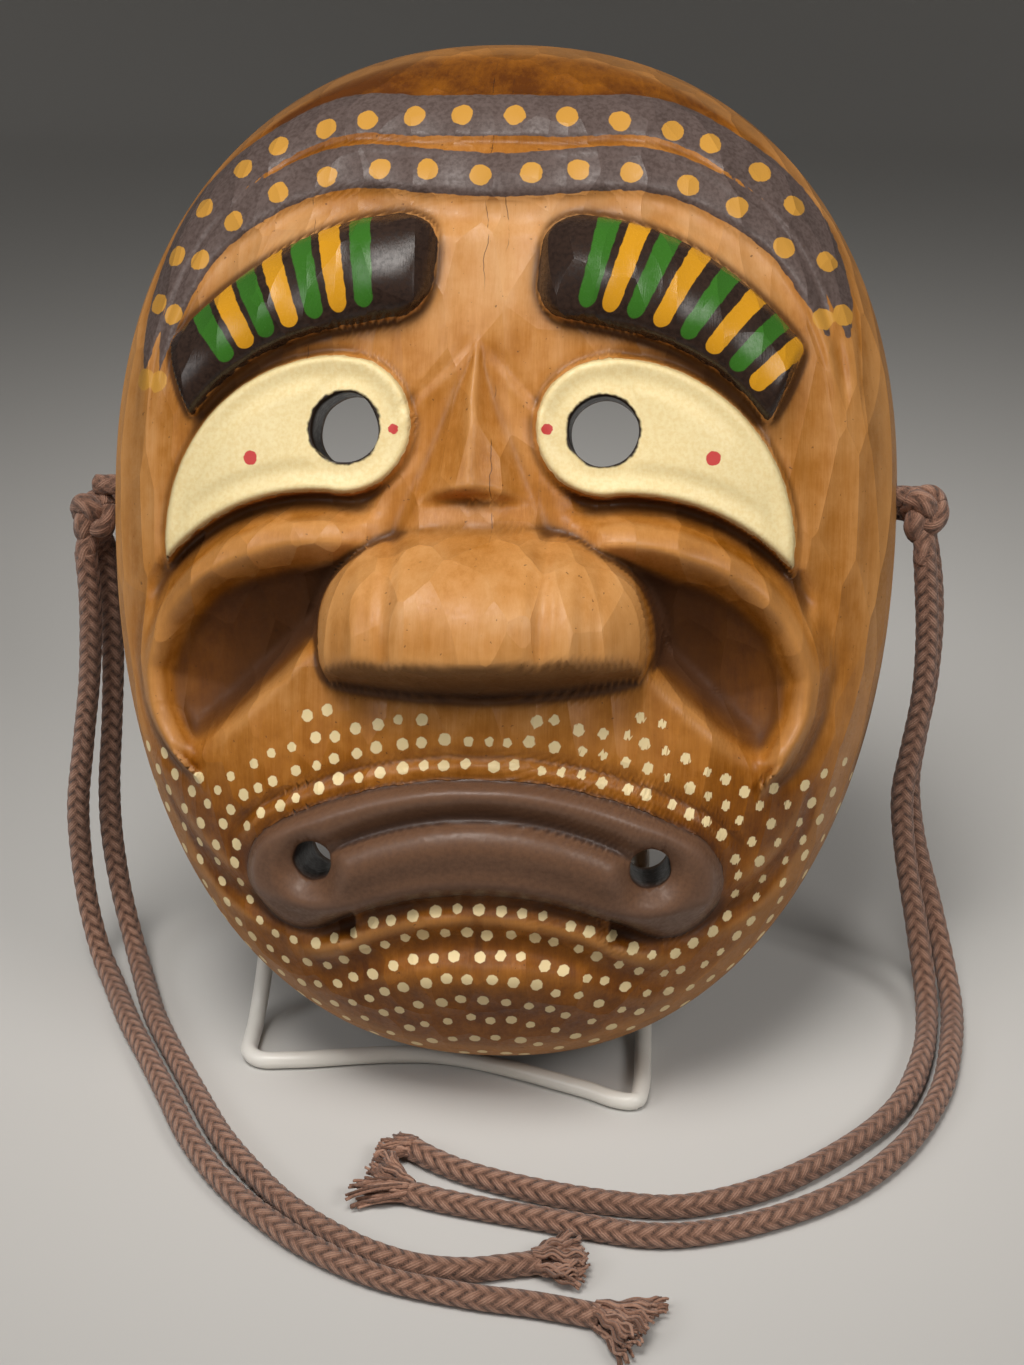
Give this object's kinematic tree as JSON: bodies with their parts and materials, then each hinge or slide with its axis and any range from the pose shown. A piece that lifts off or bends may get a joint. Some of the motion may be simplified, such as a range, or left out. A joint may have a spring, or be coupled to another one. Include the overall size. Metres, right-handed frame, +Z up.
{
  "type": "hahoe mask",
  "caption": "Carved and painted wooden dance mask with knotted braided tie cords, leaning on a bent wire display stand.",
  "frame": {"origin": "on the surface the stand rests on, under the middle of the box around mask and stand", "axes": "+Z up, -Y the side the face looks to, +X to the viewer's right"},
  "size_m": [0.2301, 0.2167, 0.2337],
  "materials": {
    "carved_wood": "satin varnish over light hardwood, with painted bands, brows, eyes and lips",
    "coated_wire": "off-white plastic coating with a few rusty marks",
    "braided_cord": "worn brown cotton braid"
  },
  "bodies": {
    "root": {"mask": "carved_wood", "display_stand": "coated_wire", "left_knot": "braided_cord", "right_knot": "braided_cord", "left_tail_a": "braided_cord", "left_tail_b": "braided_cord", "right_tail_a": "braided_cord", "right_tail_b": "braided_cord", "left_fray_a": "braided_cord", "left_fray_b": "braided_cord", "right_fray_a": "braided_cord", "right_fray_b": "braided_cord"}
  },
  "joints": []
}
